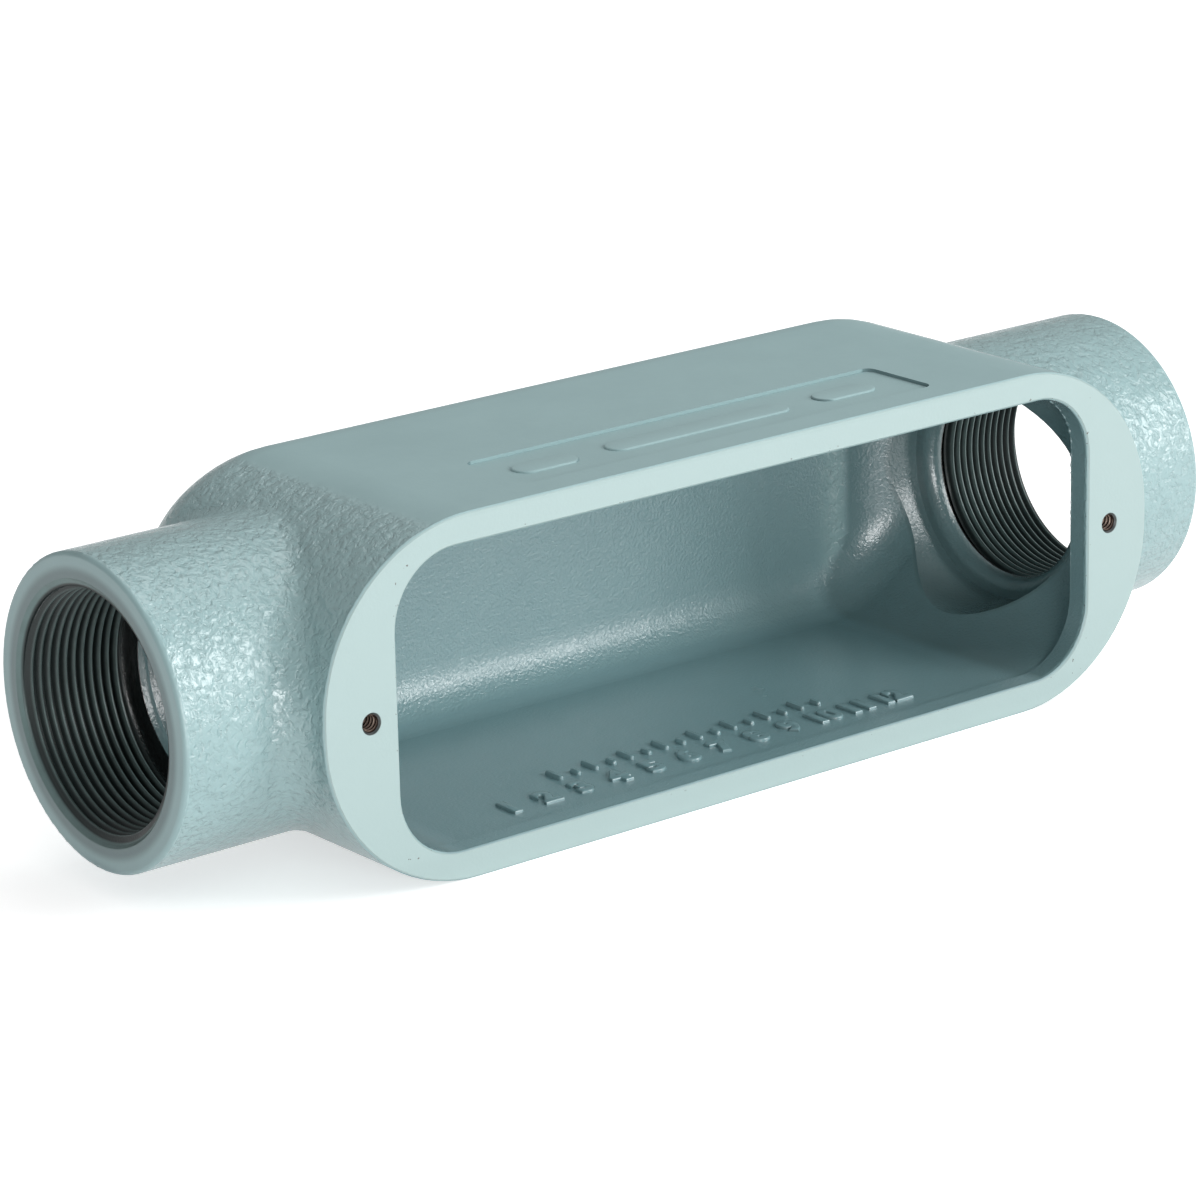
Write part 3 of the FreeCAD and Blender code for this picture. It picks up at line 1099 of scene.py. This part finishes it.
@dataclass
class CastMarks:
    """Plain cast marks: a numbered scale on the inside floor and blank bars on the panel."""

    casting: Casting
    relief: float = 1.0 * MM
    digit_height: float = 6.2 * MM
    scale_start: float = -68.0 * MM
    scale_step: float = 10.6 * MM
    steps: int = 12
    digits_depth: float = 16.4 * MM
    ticks_depth: float = 26.4 * MM
    panel_floor: float = 0.8 * MM

    def ticks(self) -> Skin:
        """Bars of a scale, every second one longer, joined in one surface.

        Returns:
            The bars, standing on the inside floor.
        """
        cast = self.casting
        bars = []
        for number in range(2, 10):
            for share, half_height in ((0.5, 3.1), (1.0, 1.8)):
                x = self.scale_start + self.scale_step * (number + share)
                foot = cast.front + self.ticks_depth - 3.1 * MM
                half = (0.75 * MM, half_height * MM)
                bars.append(pillow((x, foot + half[1]), half, self.relief, 0.45 * MM, 5))
        skin = bars[0].joined(bars[1:])
        skin.points[:, 2] += cast.wall
        return skin

    def bars(self) -> Skin:
        """Three blank raised bars in the panel of the upper side.

        Returns:
            The bars, standing on the panel's floor.
        """
        cast = self.casting
        floor = cast.high.z - self.panel_floor
        places = ((-47.0, 9.0), (-2.0, 27.0), (43.0, 9.0))
        middle = cast.front + 20.0 * MM
        rise, breadth = 0.5 * MM, 3.6 * MM
        bars = [
            pillow((x * MM, middle), (half * MM, breadth), rise, rise, 10) for x, half in places
        ]
        skin = bars[0].joined(bars[1:])
        skin.points[:, 2] += floor
        return skin

    def digits(self) -> bpy.types.Object:
        """The numbers of the scale as rounded figures, each centred on its step.

        Returns:
            The piece, not yet riding on the casting.
        """
        cast = self.casting
        mesh = bpy.data.meshes.new("scale_numbers")
        shell = bmesh.new()
        for number in range(1, self.steps + 1):
            letters = bpy.data.curves.new("figure", "FONT")
            letters.body = str(number)
            letters.align_x = "CENTER"
            letters.size = self.digit_height / 0.7
            letters.offset = 0.30 * MM
            letters.extrude = self.relief * 0.35
            letters.bevel_depth = self.relief * 0.4
            letters.bevel_resolution = 2
            letters.resolution_u = 6
            loose = bpy.data.objects.new("figure", letters)
            figure = bpy.data.meshes.new_from_object(loose)
            bpy.data.objects.remove(loose)
            x = self.scale_start + self.scale_step * (number - 0.5)
            y = cast.front + self.digits_depth - self.digit_height / 2
            figure.transform(Matrix.Translation((x, y, cast.wall)))
            shell.from_mesh(figure)
        bmesh.ops.remove_doubles(shell, verts=shell.verts, dist=1e-6)
        bmesh.ops.recalc_face_normals(shell, faces=shell.faces)
        shell.to_mesh(mesh)
        shell.free()
        return bpy.data.objects.new("scale_numbers", mesh)

    def build(self, finish: bpy.types.Material) -> list[bpy.types.Object]:
        """Raise every mark.

        Args:
            finish: The casting's enamel.

        Returns:
            The pieces.
        """
        numbers = self.digits()
        bpy.context.scene.collection.objects.link(numbers)
        numbers.data.shade_smooth()
        numbers.data.set_sharp_from_angle(angle=math.radians(50.0))
        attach(numbers, BODY)
        ticks = self.ticks().piece("scale_ticks", 60.0)
        pieces = [numbers, ticks, self.bars().piece("panel_bars", 60.0)]
        for piece in pieces:
            piece.data.materials.clear()
            piece.data.materials.append(finish)
        return pieces


# ---------------------------------------------------------------- the studio


@dataclass(frozen=True)
class SoftBox:
    """A soft rectangular lamp that faces the casting."""

    name: str
    place: tuple[float, float, float]
    size: Span
    power: float


@dataclass
class Studio:
    """White floor, soft lamps, and the camera."""

    casting: Casting
    aim: tuple[float, float, float] = (-8.51 * MM, 4.64 * MM, 37.13 * MM)
    azimuth: float = -38.644
    elevation: float = 17.471
    roll: float = -1.231
    distance: float = 1.1495
    lens: float = 145.0
    sky: float = 0.48
    floor_lift: float = 0.58
    floor_reach: float = 8.0
    boxes: tuple[SoftBox, ...] = (
        SoftBox("key", (1.00, -1.23, 0.76), (0.8, 1.1), 20.0),
        SoftBox("front", (-0.30, -0.85, 0.12), (0.35, 0.35), 3.8),
        SoftBox("overhead", (0.45, 0.30, 1.60), (1.5, 0.8), 7.0),
    )

    def back(self) -> Vector:
        """Unit vector from the aim to the camera."""
        turned, raised = math.radians(self.azimuth), math.radians(self.elevation)
        flat = math.cos(raised)
        return Vector((math.sin(turned) * flat, -math.cos(turned) * flat, math.sin(raised)))

    def camera(self) -> None:
        """Set the camera on its line of sight, with its own roll."""
        data = bpy.data.cameras.new("camera")
        data.lens, data.sensor_width = self.lens, 36.0
        data.clip_start, data.clip_end = 0.05, 50.0
        made = bpy.data.objects.new("camera", data)
        bpy.context.scene.collection.objects.link(made)
        facing = (-self.back()).to_track_quat("-Z", "Y").to_matrix().to_4x4()
        place = Vector(self.aim) + self.back() * self.distance
        rolled = Matrix.Rotation(math.radians(self.roll), 4, "Z")
        made.matrix_world = Matrix.Translation(place) @ facing @ rolled
        bpy.context.scene.camera = made

    def lamps(self) -> None:
        """Hang the soft boxes so that each faces the middle of the casting."""
        target = Vector((0.0, 0.0, self.casting.middle))
        for box in self.boxes:
            data = bpy.data.lights.new(box.name, "AREA")
            data.shape = "RECTANGLE"
            data.size, data.size_y = box.size
            data.energy = box.power
            made = bpy.data.objects.new(box.name, data)
            bpy.context.scene.collection.objects.link(made)
            place = Vector(box.place)
            facing = (target - place).to_track_quat("-Z", "Y").to_matrix().to_4x4()
            made.matrix_world = Matrix.Translation(place) @ facing

    def surroundings(self, bench: NodeBench) -> Reading:
        """One for rays that show the surroundings, straight, in gloss or through glass.

        Args:
            bench: The bench on which the nodes are made.

        Returns:
            The mask.
        """
        path = bench.node("ShaderNodeLightPath")
        kinds = ("Camera", "Glossy", "Transmission")
        seen = [Reading(bench, path.outputs[f"Is {kind} Ray"]) for kind in kinds]
        return (seen[0] + seen[1] + seen[2]).least(1.0)

    def floor(self) -> None:
        """A wide white floor that keeps the casting's shadow."""
        bench = NodeBench(bpy.data.materials.new("studio_floor"))
        paper = bench.node("ShaderNodeBsdfDiffuse", inputs={"Color": (0.86, 0.86, 0.86, 1.0)})
        lift = self.surroundings(bench) * self.floor_lift
        white = (1.0, 1.0, 1.0, 1.0)
        glow = bench.node("ShaderNodeEmission", inputs={"Color": white, "Strength": lift})
        both = bench.node("ShaderNodeAddShader", inputs={0: paper.outputs[0], 1: glow.outputs[0]})
        bench.node("ShaderNodeOutputMaterial", inputs={"Surface": both.outputs[0]})
        reach = self.floor_reach
        mesh = bpy.data.meshes.new("floor")
        signs = ((-1, -1), (1, -1), (1, 1), (-1, 1))
        corners = [(reach * right, reach * back, 0.0) for right, back in signs]
        mesh.from_pydata(corners, [], [(0, 1, 2, 3)])
        made = bpy.data.objects.new("floor", mesh)
        made.data.materials.append(bench.owner)
        bpy.context.scene.collection.objects.link(made)

    def world(self) -> None:
        """A plain sky: dim light for the casting, white where it is seen."""
        bench = NodeBench(bpy.data.worlds.new("sky"))
        bpy.context.scene.world = bench.owner
        seen = Reading(bench, bench.node("ShaderNodeLightPath").outputs["Is Camera Ray"])
        strength = seen * (1.0 - self.sky) + self.sky
        shine = bench.node("ShaderNodeBackground", inputs={"Strength": strength})
        bench.node("ShaderNodeOutputWorld", inputs={"Surface": shine.outputs[0]})

    def build(self) -> None:
        """Set up the whole studio."""
        self.floor()
        self.lamps()
        self.world()
        self.camera()
        bpy.context.scene.view_settings.view_transform = "Standard"


# ---------------------------------------------------------------- assembly


def main() -> None:
    """Paint the casting, add its threads and marks, and set the studio."""
    logging.basicConfig(level=logging.INFO, format="%(message)s")
    casting = Casting.from_frame(frame)
    skin = CastSkin(casting)
    node = frame["nodes"][NODE]
    skin.paint(node)
    enamel = node.data.materials[0]
    made = [
        *HubThreads(casting).build(),
        *ScrewThreads(casting).build(),
        CoreRim(casting).build(enamel),
        *CastMarks(casting).build(enamel),
    ]
    for piece in made:
        LOG.info("%s: %d faces", piece.name, len(piece.data.polygons))
    Studio(casting).build()
    bpy.context.view_layer.update()


if __name__ == "__main__":
    main()
